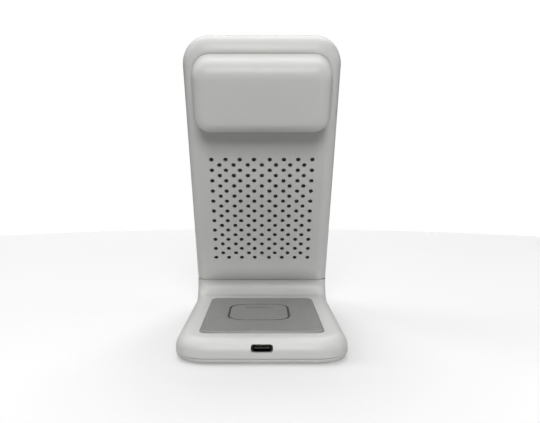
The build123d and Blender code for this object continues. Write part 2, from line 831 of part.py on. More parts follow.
with BuildPart() as watch_board:
    with BuildSketch(lean.offset(watch_board_level)):
        with Locations((0, head_middle)):
            RectangleRounded(30.0, 20.0, 1.5)
    extrude(amount=1.0)
save(watch_board, "watch_board")

with BuildPart() as watch_board_parts:
    with BuildSketch(lean.offset(watch_board_level + 1.0)):
        with Locations((-7.0, head_middle + 4.0)):
            Rectangle(5.0, 5.0)
        with Locations((6.0, head_middle + 3.5)):
            with GridLocations(4.4, 3.0, 2, 2):
                Rectangle(3.2, 1.6)
    extrude(amount=1.0)
save(watch_board_parts, "watch_board_parts")

with BuildPart() as watch_header_pins:
    with BuildSketch(at_depth(board_depth)):
        with Locations((0, head_middle)):
            with GridLocations(1.5, 1.0, 5, 1):
                Circle(0.3)
    extrude(amount=board_depth + watch_board_level)
save(watch_header_pins, "watch_header_pins")

# ---------------------------------------------------------------- steel bracket that ties upright to base
bracket_foot_end = back_y - 8.0
leg_top = panel_screw_low + 4.0
bend = slope_point(bracket_depth, 0)
bend_drop = (bend[1] - bracket_floor) / lean_cos
bend_point = slope_point(bracket_depth, -bend_drop)
with BuildPart() as neck_bracket:
    with BuildSketch(Plane.YZ):
        with BuildLine():
            FilletPolyline(
                (bracket_foot_end, bracket_floor),
                bend_point,
                slope_point(bracket_depth, leg_top),
                radius=bracket_thickness * 1.6,
            )
            offset(amount=bracket_thickness, side=Side.RIGHT)
        make_face()
    extrude(amount=bracket_width / 2, both=True)
    with BuildSketch(Plane.XY.offset(bracket_floor)):
        with Locations(rear_boss_points):
            Circle(screw_radius + screw_gap)
    extrude(amount=bracket_thickness, mode=Mode.SUBTRACT)
    with BuildSketch(at_depth(bracket_depth)):
        with Locations(bracket_screw_points):
            Circle(screw_radius + screw_gap)
    extrude(amount=-bracket_thickness, mode=Mode.SUBTRACT)
save(neck_bracket, "neck_bracket")

# ---------------------------------------------------------------- base interior
main_board_back = main_board_front + main_board_length
main_board_middle = (main_board_front + main_board_back) / 2
with BuildPart() as main_board:
    with BuildSketch(Plane.XY.offset(board_bottom)):
        with Locations((0, main_board_middle)):
            Rectangle(main_board_width, main_board_length)
        with Locations(board_screw_points):
            Circle(small_screw_radius + screw_gap, mode=Mode.SUBTRACT)
    extrude(amount=board_thickness)
save(main_board, "main_board")

with BuildPart() as main_board_chips:
    with BuildSketch(Plane.XY.offset(board_top)):
        with Locations((-9.0, main_board_middle + 2.0)):
            Rectangle(6.0, 6.0)
        with Locations((9.0, main_board_middle + 2.0)):
            Rectangle(5.0, 5.0)
    extrude(amount=0.9)
save(main_board_chips, "main_board_chips")

with BuildPart() as main_board_capacitors:
    with BuildSketch(Plane.XY.offset(board_top)):
        with Locations((0, main_board_middle + 1.5)):
            with GridLocations(4.2, 2.6, 2, 3):
                Rectangle(3.2, 1.6)
    extrude(amount=1.6)
save(main_board_capacitors, "main_board_capacitors")

with BuildPart() as main_board_inductors:
    with BuildSketch(Plane.XY.offset(board_top)):
        with Locations((-11.5, main_board_middle - 7.0), (11.5, main_board_middle - 7.0)):
            RectangleRounded(6.6, 6.6, 0.8)
    extrude(amount=deck_under - board_top - 0.8)
save(main_board_inductors, "main_board_inductors")

ribbon_level = board_top + 0.6
with BuildPart() as main_board_connector:
    with BuildSketch(Plane.XY.offset(board_top)):
        with Locations((0, main_board_back - 2.0)):
            Rectangle(connector_width, 3.4)
    extrude(amount=1.8)
save(main_board_connector, "main_board_connector")

# Flat ribbon from the base board, under the earbuds coil and up the neck to the driver board.
ribbon_rise = slope_point(ribbon_depth, 0)
ribbon_drop = (ribbon_rise[1] - ribbon_level) / lean_cos
with BuildPart() as upright_ribbon:
    with BuildSketch(Plane.YZ):
        with BuildLine():
            FilletPolyline(
                (main_board_back - 0.3, ribbon_level),
                slope_point(ribbon_depth, -ribbon_drop),
                slope_point(ribbon_depth, board_low + 0.9),
                radius=2.0,
            )
            offset(amount=ribbon_thickness, side=Side.RIGHT)
        make_face()
    extrude(amount=ribbon_width / 2, both=True)
save(upright_ribbon, "upright_ribbon")

earbuds_coil_top = deck_under - coil_gap
earbuds_ferrite_width = 2 * (earbuds_coil_radius + earbuds_ferrite_margin)
with BuildPart() as earbuds_coil:
    with BuildSketch(Plane.XY.offset(earbuds_coil_top)):
        with Locations((icon_shift, icon_y)):
            Circle(earbuds_coil_radius)
            Circle(coil_hole_radius - 2.0, mode=Mode.SUBTRACT)
    extrude(amount=-coil_thickness)
save(earbuds_coil, "earbuds_coil")

with BuildPart() as earbuds_ferrite:
    with BuildSketch(Plane.XY.offset(earbuds_coil_top - coil_thickness - coil_gap)):
        with Locations((icon_shift, icon_y)):
            RectangleRounded(earbuds_ferrite_width, earbuds_ferrite_width, 4.0)
    extrude(amount=-ferrite_thickness)
save(earbuds_ferrite, "earbuds_ferrite")

ballast_low = main_board_back + 1.5
ballast_high = bend_point[0] - 2.0
with BuildPart() as ballast_plate:
    with BuildSketch(Plane.XY.offset(cover_top + 0.1)):
        with Locations((0, (ballast_low + ballast_high) / 2)):
            RectangleRounded(width - 16.0, ballast_high - ballast_low, 3.0)
    extrude(amount=ballast_thickness)
save(ballast_plate, "ballast_plate")

# ---------------------------------------------------------------- status light in the back of the base
with BuildPart() as status_light_pipe:
    with BuildSketch(Plane.XZ.offset(-back_y)):
        with Locations((0, light_height)):
            Circle(light_radius)
    extrude(amount=wall)
    with BuildSketch(Plane.XZ.offset(-back_y + wall)):
        with Locations((0, light_height)):
            Circle(light_radius + light_flange)
    extrude(amount=light_flange_thickness)
save(status_light_pipe, "status_light_pipe")

with BuildPart() as status_light_board:
    light_board_y = back_y - wall - light_flange_thickness - 1.0
    with BuildSketch(Plane.XZ.offset(-light_board_y)):
        with Locations((0, light_height - 0.4)):
            Rectangle(9.0, 4.6)
    extrude(amount=0.8)
    with BuildSketch(Plane.XZ.offset(-light_board_y)):
        with Locations((0, light_height)):
            Rectangle(1.8, 1.0)
    extrude(amount=-0.7)
save(status_light_board, "status_light_board")


# ---------------------------------------------------------------- screws
def screws(plane, points, head, shank, head_tall, length):
    """Group of like screws: heads on the plane, shanks along its normal."""
    with BuildPart() as group:
        with BuildSketch(plane):
            with Locations(points):
                Circle(head)
        extrude(amount=-head_tall)
        with BuildSketch(plane):
            with Locations(points):
                Circle(shank)
        extrude(amount=length)
        with BuildSketch(plane.offset(-head_tall)):
            with Locations(points):
                Rectangle(1.3 * head, head / 4)
                Rectangle(head / 4, 1.3 * head)
        extrude(amount=head_tall / 2, mode=Mode.SUBTRACT)
    return group


base_screw_seat = foot_height + foot_recess + screw_head_height
screw_groups = {
    "base_screws": (
        Plane.XY.offset(base_screw_seat),
        foot_points,
        deck_under - screw_floor - base_screw_seat,
    ),
    "bracket_base_screws": (
        Plane.XY.offset(bracket_floor),
        rear_boss_points,
        deck_under - screw_floor - bracket_floor,
    ),
    "bracket_upright_screws": (
        at_depth(bracket_depth + bracket_thickness),
        bracket_screw_points,
        bracket_depth + bracket_thickness - 1.2,
    ),
    "panel_screws": (
        at_depth(far_face - sheet_recess - screw_head_height - screw_gap / 2),
        panel_screw_points,
        far_face - sheet_recess - screw_head_height - wall - 1.2,
    ),
    "watch_head_screws": (
        at_depth(wall),
        head_screw_points,
        wall + head_boss_length - 1.2,
    ),
}
for screw_name, (seat, points, length) in screw_groups.items():
    group = screws(seat, points, screw_head_radius, screw_radius, screw_head_height, length)
    save(group, screw_name)

small_screw_groups = {
    "main_board_screws": (
        Plane.XY.offset(board_top).rotated((180, 0, 0)),
        [(x, -y) for x, y in board_screw_points],
        board_top - foot_height - 0.9,
    ),
    "driver_board_screws": (
        at_depth(board_depth + thin_board),
        driver_screw_points,
        board_depth + thin_board - 1.5,
    ),
}
for screw_name, (seat, points, length) in small_screw_groups.items():
    group = screws(seat, points, small_head_radius, small_screw_radius, small_head_height, length)
    save(group, screw_name)
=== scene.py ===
"""Looks of a desktop charging stand for a phone, a watch and an earbuds case.

The stand is dressed piece by piece in the order in which it is put together: the base from the table
up, the neck, the vented upright with its watch head, and the phone side.  Everything is in metres in
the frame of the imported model: X across, the pad side faces -Y, Z up, the table at zero.
"""

from math import cos, pi, radians, sin

import bmesh
import bpy
from mathutils import Matrix, Vector


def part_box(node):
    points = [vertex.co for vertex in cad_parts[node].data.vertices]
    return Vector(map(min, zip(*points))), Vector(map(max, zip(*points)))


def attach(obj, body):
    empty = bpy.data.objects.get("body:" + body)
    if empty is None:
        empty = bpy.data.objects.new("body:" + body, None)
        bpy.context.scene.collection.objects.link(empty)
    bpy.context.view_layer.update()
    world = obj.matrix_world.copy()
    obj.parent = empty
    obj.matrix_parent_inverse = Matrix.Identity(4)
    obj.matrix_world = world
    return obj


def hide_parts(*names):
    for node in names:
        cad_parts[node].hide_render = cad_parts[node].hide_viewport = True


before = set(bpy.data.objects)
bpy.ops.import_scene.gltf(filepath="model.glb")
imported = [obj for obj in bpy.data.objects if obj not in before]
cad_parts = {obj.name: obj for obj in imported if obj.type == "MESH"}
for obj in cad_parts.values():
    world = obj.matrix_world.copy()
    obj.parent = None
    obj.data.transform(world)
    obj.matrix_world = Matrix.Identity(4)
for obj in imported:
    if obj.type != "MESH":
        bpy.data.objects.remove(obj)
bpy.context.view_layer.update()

mm = 0.001

# ---------------------------------------------------------------- bottom cover
# A shallow white ABS tray that closes the base from below, with a rim that locates it in the top
# shell.  Injection moulded in a fine spark-eroded tool, so the surface has a soft even grain.


def new_finish(name, **even):
    """New material.  What is even all over the surface is set on the shader's own sockets."""
    finish = bpy.data.materials.new(name)
    finish.use_nodes = True
    shader = finish.node_tree.nodes["Principled BSDF"]
    for socket, value in even.items():
        shader.inputs[socket.replace("_", " ")].default_value = value
    return finish


def step(finish, kind, settings=(), **inputs):
    """Add a shader node.  An input given a socket is linked to it, and any other value is set."""
    made = finish.node_tree.nodes.new("ShaderNode" + kind)
    for name, value in dict(settings).items():
        setattr(made, name, value)
    for name, value in inputs.items():
        socket = made.inputs[name.replace("_", " ")]
        if isinstance(value, bpy.types.NodeSocket):
            finish.node_tree.links.new(value, socket)
        else:
            socket.default_value = value
    return made


def place(finish, about=(0.0, 0.0, 0.0), stretch=(1.0, 1.0, 1.0)):
    """Place on the piece in metres, measured from a point and stretched along the axes."""
    here = step(finish, "TexCoord").outputs["Object"]
    moved = step(finish, "VectorMath", {"operation": "SUBTRACT"})
    finish.node_tree.links.new(here, moved.inputs[0])
    moved.inputs[1].default_value = about
    grown = step(finish, "VectorMath", {"operation": "MULTIPLY"})
    finish.node_tree.links.new(moved.outputs[0], grown.inputs[0])
    grown.inputs[1].default_value = stretch
    return grown.outputs[0]


def mottle(finish, where, size, detail=2.0):
    """Noise whose lumps are about this size in metres."""
    return step(finish, "TexNoise", Vector=where, Scale=1 / size, Detail=detail).outputs["Fac"]


def between(finish, amount, low, high, start=0.3, end=0.7):
    """Number that runs from low to high as amount runs from start to end."""
    span = step(finish, "MapRange", Value=amount, From_Min=start, From_Max=end, To_Min=low, To_Max=high)
    return span.outputs["Result"]


def tones(finish, amount, *stops):
    """Colour that runs through the stops, each a place from 0 to 1 and a colour."""
    ramp = step(finish, "ValToRGB", Fac=amount)
    marks = ramp.color_ramp.elements
    while len(marks) < len(stops):
        marks.new(0.5)
    for mark, (at, colour) in zip(marks, stops):
        mark.position = at
        mark.color = (*colour, 1.0)
    return ramp.outputs["Color"]


def mix(finish, amount, first, second):
    """Colour that runs from first to second with amount."""
    mixer = step(finish, "Mix", {"data_type": "RGBA"})
    for socket, value in zip((mixer.inputs[0], mixer.inputs[6], mixer.inputs[7]), (amount, first, second)):
        if isinstance(value, bpy.types.NodeSocket):
            finish.node_tree.links.new(value, socket)
        else:
            socket.default_value = (*value, 1.0)
    return mixer.outputs[2]


def product(finish, first, second):
    """Two numbers multiplied."""
    times = step(finish, "Math", {"operation": "MULTIPLY"})
    finish.node_tree.links.new(first, times.inputs[0])
    finish.node_tree.links.new(second, times.inputs[1])
    return times.outputs[0]


def apply_to_shader(finish, colour=None, roughness=None, height=None, depth=0.02 * mm, strength=1.0):
    """Join colour, roughness and surface height to the shader."""
    shader = finish.node_tree.nodes["Principled BSDF"]
    if colour is not None:
        finish.node_tree.links.new(colour, shader.inputs["Base Color"])
    if roughness is not None:
        finish.node_tree.links.new(roughness, shader.inputs["Roughness"])
    if height is not None:
        relief = step(finish, "Bump", Height=height, Distance=depth, Strength=strength)
        finish.node_tree.links.new(relief.outputs["Normal"], shader.inputs["Normal"])
    return finish


def edge_amount(finish, reach):
    """How near a point is to a sharp edge: nought on open surface, up to one on the edge."""
    softened = step(finish, "Bevel", {"samples": 4}, Radius=reach).outputs["Normal"]
    true_normal = step(finish, "NewGeometry").outputs["Normal"]
    same_way = step(finish, "VectorMath", {"operation": "DOT_PRODUCT"})
    finish.node_tree.links.new(softened, same_way.inputs[0])
    finish.node_tree.links.new(true_normal, same_way.inputs[1])
    return between(finish, same_way.outputs["Value"], 1.0, 0.0, start=0.72, end=0.995)


# Painted shade in the white: the material itself greys deep recesses such as the cove and the face under the
# watch head.
painted_shade_reach = 20 * mm  # how far round a point the surfaces count when the painted shade is judged
painted_shade_low = 8 * mm  # no painted shade up to this height, so that the table doesn't count
painted_shade_high = 14 * mm  # from this height up the painted shade reaches its full grey
painted_shade_grey = (0.20, 0.199, 0.19)


def moulded_white():
    """White ABS: faint tone drift, fine tool grain, rubbed edges, and painted shade that greys the deep
    recesses.
    """
    finish = new_finish("white_abs", IOR=1.53)
    where = place(finish)
    drift = tones(
        finish,
        mottle(finish, where, 45 * mm),
        (0.3, (0.735, 0.733, 0.716)),
        (0.7, (0.765, 0.764, 0.748)),
    )
    rubbed = product(finish, edge_amount(finish, 0.5 * mm), mottle(finish, where, 7 * mm, 4.0))
    worn = mix(finish, rubbed, drift, (0.68, 0.675, 0.66))
    # Painted shade: grey where ambient occlusion finds the surface closed in, above the table zone only.
    openness = step(finish, "AmbientOcclusion", {"samples": 8}, Distance=painted_shade_reach).outputs["AO"]
    height = step(finish, "SeparateXYZ", Vector=where).outputs["Z"]
    painted_shade_amount = product(
        finish,
        between(finish, openness, 1.0, 0.0, start=0.4, end=0.76),
        between(finish, height, 0.0, 1.0, start=painted_shade_low, end=painted_shade_high),
    )
    colour = mix(finish, painted_shade_amount, worn, painted_shade_grey)
    patches = between(finish, mottle(finish, where, 16 * mm, 3.0), 0.40, 0.52)
    grain = mottle(finish, where, 0.35 * mm, 3.0)
    return apply_to_shader(finish, colour, patches, grain, 0.02 * mm, 0.6)


def dress(material, *names):
    """Give CAD nodes their finish."""
    for name in names:
        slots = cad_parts[name].data.materials
        slots.clear()
        slots.append(material)


white_abs = moulded_white()
dress(white_abs, "base_bottom_cover")

# ---------------------------------------------------------------- rubber feet
# Four moulded rubber discs pressed into recesses over the base screws.  Each has rings moulded in
# its underside that keep the stand from sliding.
foot_radius = 6.0 * mm
foot_edge = 0.4 * mm
foot_ring_pitch = 1.1 * mm
foot_ring_depth = 0.12 * mm
foot_low, foot_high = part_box("rubber_feet")


def turned(mesh, centre, profile, steps=64):
    """Revolve a profile of (radius, height) about a vertical axis; ends on the axis are closed."""
    rings = []
    for radius, height in profile:
        count = steps if radius > 0 else 1
        rings.append([
            mesh.verts.new((
                centre[0] + radius * cos(2 * pi * k / count),
                centre[1] + radius * sin(2 * pi * k / count),
                height,
            ))
            for k in range(count)
        ])
    for near, far in zip(rings, rings[1:]):
        for k in range(steps):
            around = (k + 1) % steps
            corners = [
                near[k % len(near)],
                near[around % len(near)],
                far[around % len(far)],
                far[k % len(far)],
            ]
            mesh.faces.new(list(dict.fromkeys(corners)))


def piece_from(mesh, name, material, slot, *nodes, pose=None):
    """Finish a mesh into a smooth piece that rides on the stand and stands for CAD nodes."""
    if pose is not None:
        bmesh.ops.transform(mesh, matrix=pose, verts=mesh.verts)
    bmesh.ops.recalc_face_normals(mesh, faces=mesh.faces)
    for face in mesh.faces:
        face.smooth = True
    data = bpy.data.meshes.new(name)
    mesh.to_mesh(data)
    mesh.free()
    data.materials.append(material)
    piece = bpy.data.objects.new(name, data)
    bpy.context.scene.collection.objects.link(piece)
    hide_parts(*nodes)
    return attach(piece, "root")


def moulded_rubber(name, dark, light, roughness):
    """Rubber or silicone: mottled tone, a dusty bloom and a fine pebbled skin."""
    finish = new_finish(name, IOR=1.45)
    where = place(finish)
    colour = tones(finish, mottle(finish, where, 9 * mm, 5.0), (0.3, dark), (0.7, light))
    bloom = between(finish, mottle(finish, where, 3 * mm, 4.0), roughness - 0.05, roughness + 0.05)
    return apply_to_shader(finish, colour, bloom, mottle(finish, where, 0.3 * mm, 2.0), 0.02 * mm, 0.5)


foot_rubber = moulded_rubber("foot_rubber", (0.055, 0.055, 0.055), (0.08, 0.08, 0.078), 0.75)
foot_profile = [(0.0, foot_high.z), (foot_radius, foot_high.z)]
foot_profile += [
    (
        foot_radius - foot_edge + foot_edge * cos(turn * pi / 12),
        foot_edge - foot_edge * sin(turn * pi / 12),
    )
    for turn in range(7)
]
ring_steps = 6
ring_count = 4
for k in range(ring_count * ring_steps + 1):
    outward = foot_radius - foot_edge - 0.3 * mm - k * foot_ring_pitch / ring_steps
    foot_profile.append((outward, foot_ring_depth * sin(pi * k / ring_steps) ** 2))
foot_profile.append((0.0, 0.0))

feet = bmesh.new()
for x in (foot_low.x + foot_radius, foot_high.x - foot_radius):
    for y in (foot_low.y + foot_radius, foot_high.y - foot_radius):
        turned(feet, (x, y), foot_profile)
piece_from(feet, "ribbed_feet", foot_rubber, "rubber_dark", "rubber_feet")

# ---------------------------------------------------------------- ballast plate and steel hardware
# A stamped steel plate lies in the base so that a phone can't tip the stand.  The plate, the neck
# bracket and all screws are zinc plated: a cool grey with a cloudy passivated bloom.


def plated_steel():
    """Zinc plate: cloudy tone, drawn grain along X and scuffed edges."""
    finish = new_finish("zinc_plate", Metallic=1.0)
    where = place(finish)
    cloud = mottle(finish, where, 4 * mm, 4.0)
    drawn = mottle(finish, place(finish, stretch=(0.05, 1.0, 1.0)), 0.25 * mm, 2.0)
    plate = tones(finish, cloud, (0.3, (0.50, 0.51, 0.53)), (0.7, (0.62, 0.63, 0.64)))
    colour = mix(finish, edge_amount(finish, 0.3 * mm), plate, (0.72, 0.72, 0.71))
    return apply_to_shader(finish, colour, between(finish, cloud, 0.28, 0.46), drawn, 0.01 * mm, 0.6)


zinc_plate = plated_steel()
dress(
    zinc_plate,
    "ballast_plate",
    "neck_bracket",
    "base_screws",
    "bracket_base_screws",
    "bracket_upright_screws",
    "main_board_screws",
    "driver_board_screws",
    "watch_head_screws",
    "panel_screws",
)

# ---------------------------------------------------------------- circuit boards
# Glass-epoxy boards under green solder mask: the power board behind the inlet, the coil driver in
# the upright, the watch board and the small light board.  Copper tracks stand up under the mask.


def solder_mask():
    """Solder mask over tracks: raised paths of a lighter green on a mottled dark green."""
    finish = new_finish("solder_mask", IOR=1.5, Coat_Weight=0.3)
    where = place(finish)
    tracks = step(
        finish,
        "TexBrick",
        Vector=where,
        Scale=220.0,
        Color1=(0.0, 0.0, 0.0, 1.0),
        Color2=(0.1, 0.1, 0.1, 1.0),
        Mortar=(1.0, 1.0, 1.0, 1.0),
        Mortar_Size=0.06,
        Mortar_Smooth=0.4,
    ).outputs["Color"]
    weave = tones(
        finish, mottle(finish, where, 2 * mm), (0.3, (0.012, 0.075, 0.03)), (0.7, (0.02, 0.11, 0.045))
    )
    colour = mix(finish, tracks, weave, (0.05, 0.22, 0.09))
    return apply_to_shader(
        finish, colour, between(finish, mottle(finish, where, 5 * mm), 0.22, 0.36), tracks, 0.04 * mm, 0.8
    )


dress(solder_mask(), "main_board", "driver_board", "watch_board", "status_light_board")

# ---------------------------------------------------------------- chips, capacitors and connectors
# Chips are black moulded epoxy, matt from the mould.  Capacitors have pale ceramic bodies, and the
# ribbon connectors and the ribbon itself are ivory nylon and polyester.


def moulded_body(name, dark, light, lump, roughness, grain=0.12 * mm):
    """Small moulded or fired body: two close tones, uneven gloss and a fine grain."""
    finish = new_finish(name, IOR=1.5)
    where = place(finish)
    cloud = mottle(finish, where, lump, 4.0)
    colour = tones(finish, cloud, (0.3, dark), (0.7, light))
    gloss = between(finish, cloud, roughness - 0.07, roughness + 0.07)
    return apply_to_shader(finish, colour, gloss, mottle(finish, where, grain, 3.0), 0.01 * mm, 0.6)


black_epoxy = moulded_body("black_epoxy", (0.018, 0.018, 0.02), (0.035, 0.035, 0.036), 1.5 * mm, 0.55)
ivory_nylon = moulded_body("ivory_nylon", (0.62, 0.58, 0.47), (0.72, 0.69, 0.58), 3 * mm, 0.45)
pale_ceramic = moulded_body("pale_ceramic", (0.42, 0.33, 0.22), (0.55, 0.45, 0.32), 0.8 * mm, 0.35)
dress(black_epoxy, "main_board_chips", "driver_chips", "watch_board_parts")
dress(pale_ceramic, "main_board_capacitors", "driver_capacitors")
dress(ivory_nylon, "main_board_connector", "driver_connector", "upright_ribbon")

# ---------------------------------------------------------------- ferrites and choke coils
# Sintered ferrite sheets sit behind every charging coil and steer its field; the chokes on the
# power board are pressed from the same dark powder.  The sheets show hairline firing cracks.


def sintered_ferrite():
    """Dark sintered powder: granular tone and fine cracks between the tiles of a cracked sheet."""
    finish = new_finish("sintered_ferrite", IOR=2.0)
    where = place(finish)
    tiles = step(
        finish, "TexVoronoi", {"feature": "DISTANCE_TO_EDGE"}, Vector=where, Scale=1 / (3 * mm)
    ).outputs["Distance"]
    body = between(finish, tiles, 0.0, 1.0, start=0.0, end=0.03)
    colour = tones(finish, body, (0.0, (0.02, 0.02, 0.022)), (1.0, (0.07, 0.07, 0.075)))
    roughness = between(finish, mottle(finish, where, 0.5 * mm, 4.0), 0.45, 0.65)
    return apply_to_shader(finish, colour, roughness, body, 0.02 * mm, 0.7)


dress(sintered_ferrite(), "main_board_inductors", "phone_ferrite", "watch_ferrite", "earbuds_ferrite")

# ---------------------------------------------------------------- charging coils
# Flat spirals of enamelled litz wire: two for the phone, one for the watch and one for the earbuds
# case.  Each turn stands up as a round bundle with its strands showing.
litz_pitch = 0.9 * mm
wave_period = 2 * pi / 20  # one ring of the rings texture, at scale 1


def litz_winding(node):
    """Rings of enamelled copper wire about the middle of a coil, painted darker between the turns as shade
    and lighter on each crest as a highlight.
    """
    low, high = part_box(node)
    finish = new_finish("litz_" + node, Metallic=1.0)
    where = place(finish, about=(low + high) / 2)
    turns = step(
        finish,
        "TexWave",
        {"wave_type": "RINGS", "rings_direction": "SPHERICAL"},
        Vector=where,
        Scale=wave_period / litz_pitch,
        Distortion=0.3,
    ).outputs["Fac"]
    # Painted shade between the turns and a painted highlight on each crest, in step with the bump.
    colour = tones(
        finish,
        turns,
        (0.0, (0.16, 0.05, 0.02)),
        (0.6, (0.62, 0.27, 0.12)),
        (1.0, (0.80, 0.42, 0.22)),
    )
    strands = mottle(finish, where, 0.12 * mm, 2.0)
    return apply_to_shader(finish, colour, between(finish, strands, 0.28, 0.42), turns, 0.2 * mm, 0.9)


for coil in ("phone_coil_upper", "phone_coil_lower", "watch_coil", "earbuds_coil"):
    dress(litz_winding(coil), coil)

# ---------------------------------------------------------------- power inlet
# A receptacle on the front edge of the power board: a drawn shell in black nickel, a black polymer
# body with its tongue, and two rows of gilt contacts.


def black_nickel():
    """Black nickel on a drawn shell: dark, with drawing lines running into the base."""
    finish = new_finish("black_nickel", Metallic=1.0)
    drawn = mottle(finish, place(finish, stretch=(1.0, 0.04, 1.0)), 0.12 * mm, 3.0)
    colour = tones(finish, drawn, (0.3, (0.045, 0.045, 0.048)), (0.7, (0.085, 0.085, 0.09)))
    return apply_to_shader(finish, colour, between(finish, drawn, 0.25, 0.4), drawn, 0.01 * mm, 0.5)


def gilt_contacts():
    """Gold plate over nickel, wiped thin where plugs have run."""
    finish = new_finish("gilt_contacts", Metallic=1.0)
    wiped = mottle(finish, place(finish, stretch=(1.0, 0.2, 1.0)), 0.4 * mm, 3.0)
    colour = tones(finish, wiped, (0.35, (0.55, 0.42, 0.22)), (0.6, (0.83, 0.62, 0.25)))
    return apply_to_shader(finish, colour, between(finish, wiped, 0.2, 0.35), wiped, 0.005 * mm, 0.5)


inlet_polymer = moulded_body("inlet_polymer", (0.012, 0.012, 0.013), (0.022, 0.022, 0.023), 1.2 * mm, 0.5)
dress(black_nickel(), "inlet_shell")
dress(inlet_polymer, "inlet_insulator")
dress(gilt_contacts(), "inlet_contacts", "watch_header_pins")

# ---------------------------------------------------------------- status light
# A frosted acrylic plug in the back edge of the base carries the light of a small lamp behind it.


def frosted_acrylic():
    """Frosted acrylic: clouded inside, with a sanded face."""
    finish = new_finish("frosted_acrylic", IOR=1.49, Transmission_Weight=0.55)
    where = place(finish)
    cloud = mottle(finish, where, 0.8 * mm, 3.0)
    colour = tones(finish, cloud, (0.3, (0.80, 0.83, 0.86)), (0.7, (0.90, 0.92, 0.94)))
    return apply_to_shader(
        finish, colour, between(finish, cloud, 0.42, 0.6), mottle(finish, where, 0.15 * mm), 0.02 * mm, 0.8
    )


dress(frosted_acrylic(), "status_light_pipe")

# ---------------------------------------------------------------- base top shell
# The white lid of the base in one moulding with the neck.  A large smooth cove carries the deck
# up into the neck, and the front edge is rounded down to the inlet.
dress(white_abs, "base_top_shell")

# ---------------------------------------------------------------- earbuds pad
# A soft grey silicone mat glued in a shallow recess of the deck.  Its edge is rolled over, and the
# outline of an earbuds case with its lid line is moulded in as a shallow rounded groove.
pad_low, pad_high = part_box("earbuds_pad")
pad_middle = (pad_low + pad_high) / 2
pad_corner = 4.0 * mm
pad_roll = 0.8 * mm
case_width = 30.7 * mm
case_length = 36.7 * mm
case_corner = 9.0 * mm
case_shift = -1.4 * mm
case_setback = 20.2 * mm  # front edge of the pad to the front of the outline
lid_width = 14.5 * mm
lid_setback = 8.2 * mm  # back of the outline to the lid line
groove_width = 1.25 * mm
groove_depth = 0.65 * mm
groove_shares = 12
groove_lip = 0.12 * mm
dark_from = 0.005 * mm  # depth at which the groove starts to darken
dark_full = 0.06 * mm
arc_steps = 14


def outline(mesh, centre, half_x, half_y, radius, height):
    """Ring of vertices round a rectangle with rounded corners."""
    ring = []
    for corner, (side_x, side_y) in enumerate(((1, 1), (-1, 1), (-1, -1), (1, -1))):
        for k in range(arc_steps + 1):
            angle = (corner + k / arc_steps) * pi / 2
            x = centre[0] + side_x * (half_x - radius) + radius * cos(angle)
            y = centre[1] + side_y * (half_y - radius) + radius * sin(angle)
            ring.append(mesh.verts.new((x, y, height)))
    return ring


def bridge(mesh, outer, inner):
    """Wall or flat surface between two rings with the same number of vertices."""
    for k in range(len(outer)):
        mesh.faces.new((outer[k - 1], outer[k], inner[k], inner[k - 1]))


def contour(mesh, centre, half_x, half_y, radius, profile):
    """Rings that follow one outline, each taken in by an inset at a height, with walls between them."""
    rings = [
        outline(mesh, centre, half_x - inset, half_y - inset, max(radius - inset, 0.02 * mm), height)
        for inset, height in profile
    ]
    for outer, inner in zip(rings, rings[1:]):
        bridge(mesh, outer, inner)
    return rings[0], rings[-1]


def groove_profile(width, depth, top, soft=0.7):
    """Cross-section of a rounded groove, from one lip over the bottom to the other lip."""
    trough = [
        (width * k / groove_shares, top - depth * (0.5 - 0.5 * cos(2 * pi * k / groove_shares)) ** soft)
        for k in range(groove_shares + 1)
    ]
    return [(-groove_lip, top), *trough, (width + groove_lip, top)]


roll = [
    (pad_roll - pad_roll * cos(k * pi / 16), pad_high.z - pad_roll + pad_roll * sin(k * pi / 16))
    for k in range(9)
]
edge_profile = [(0.0, pad_low.z)] + roll + [(pad_roll + 0.3 * mm, pad_high.z)]
pad = bmesh.new()
pad_bottom, pad_field = contour(
    pad,
    pad_middle,
    (pad_high.x - pad_low.x) / 2,
    (pad_high.y - pad_low.y) / 2,
    pad_corner,
    edge_profile,
)
pad.faces.new(pad_bottom)
case_middle = Vector((case_shift, pad_low.y + case_setback + case_length / 2))
case_outer, case_inner = contour(
    pad,
    case_middle,
    case_width / 2,
    case_length / 2,
    case_corner,
    groove_profile(groove_width, groove_depth, pad_high.z),
)
bridge(pad, pad_field, case_outer)
lid_middle = case_middle + Vector((0.0, case_length / 2 - lid_setback))
half_groove = groove_profile(groove_width, groove_depth, pad_high.z)[: groove_shares // 2 + 2]
lid_outer, lid_bottom = contour(
    pad, lid_middle, lid_width / 2, groove_width / 2, groove_width / 2, half_groove
)
bridge(pad, case_inner, lid_outer)
pad.faces.new(lid_bottom)


def pad_skin():
    """Grey silicone with an eggshell skin, darker down in the groove."""
    finish = new_finish("pad_silicone", IOR=1.45)
    where = place(finish)
    clean = tones(
        finish, mottle(finish, where, 9 * mm, 5.0), (0.3, (0.275, 0.275, 0.275)), (0.7, (0.305, 0.305, 0.302))
    )
    openness = step(
        finish, "AmbientOcclusion", {"samples": 8, "only_local": True}, Distance=groove_width
    ).outputs["AO"]
    height = step(finish, "SeparateXYZ", Vector=where).outputs["Z"]
    sunken = product(
        finish,
        between(finish, openness, 1.0, 0.0, start=0.93, end=0.99),
        between(finish, height, 1.0, 0.0, start=pad_high.z - dark_full, end=pad_high.z - dark_from),
    )
    colour = mix(finish, sunken, clean, (0.09, 0.09, 0.09))
    bloom = between(finish, mottle(finish, where, 3 * mm, 4.0), 0.34, 0.44)
    return apply_to_shader(finish, colour, bloom, mottle(finish, where, 0.3 * mm, 2.0), 0.02 * mm, 0.5)


piece_from(pad, "silicone_pad", pad_skin(), "pad_grey", "earbuds_pad")

# ---------------------------------------------------------------- upright rear shell
# The near half of the hollow upright, in the same white ABS as the base, moulded with its field of
# round vents, each with a small broken edge.
dress(white_abs, "upright_rear_shell")

# ---------------------------------------------------------------- dust mesh
# A black polyester screen heat-staked behind the vents: plain woven threads, a little glossy.
thread_pitch = 0.35 * mm
lean = radians(30.0)


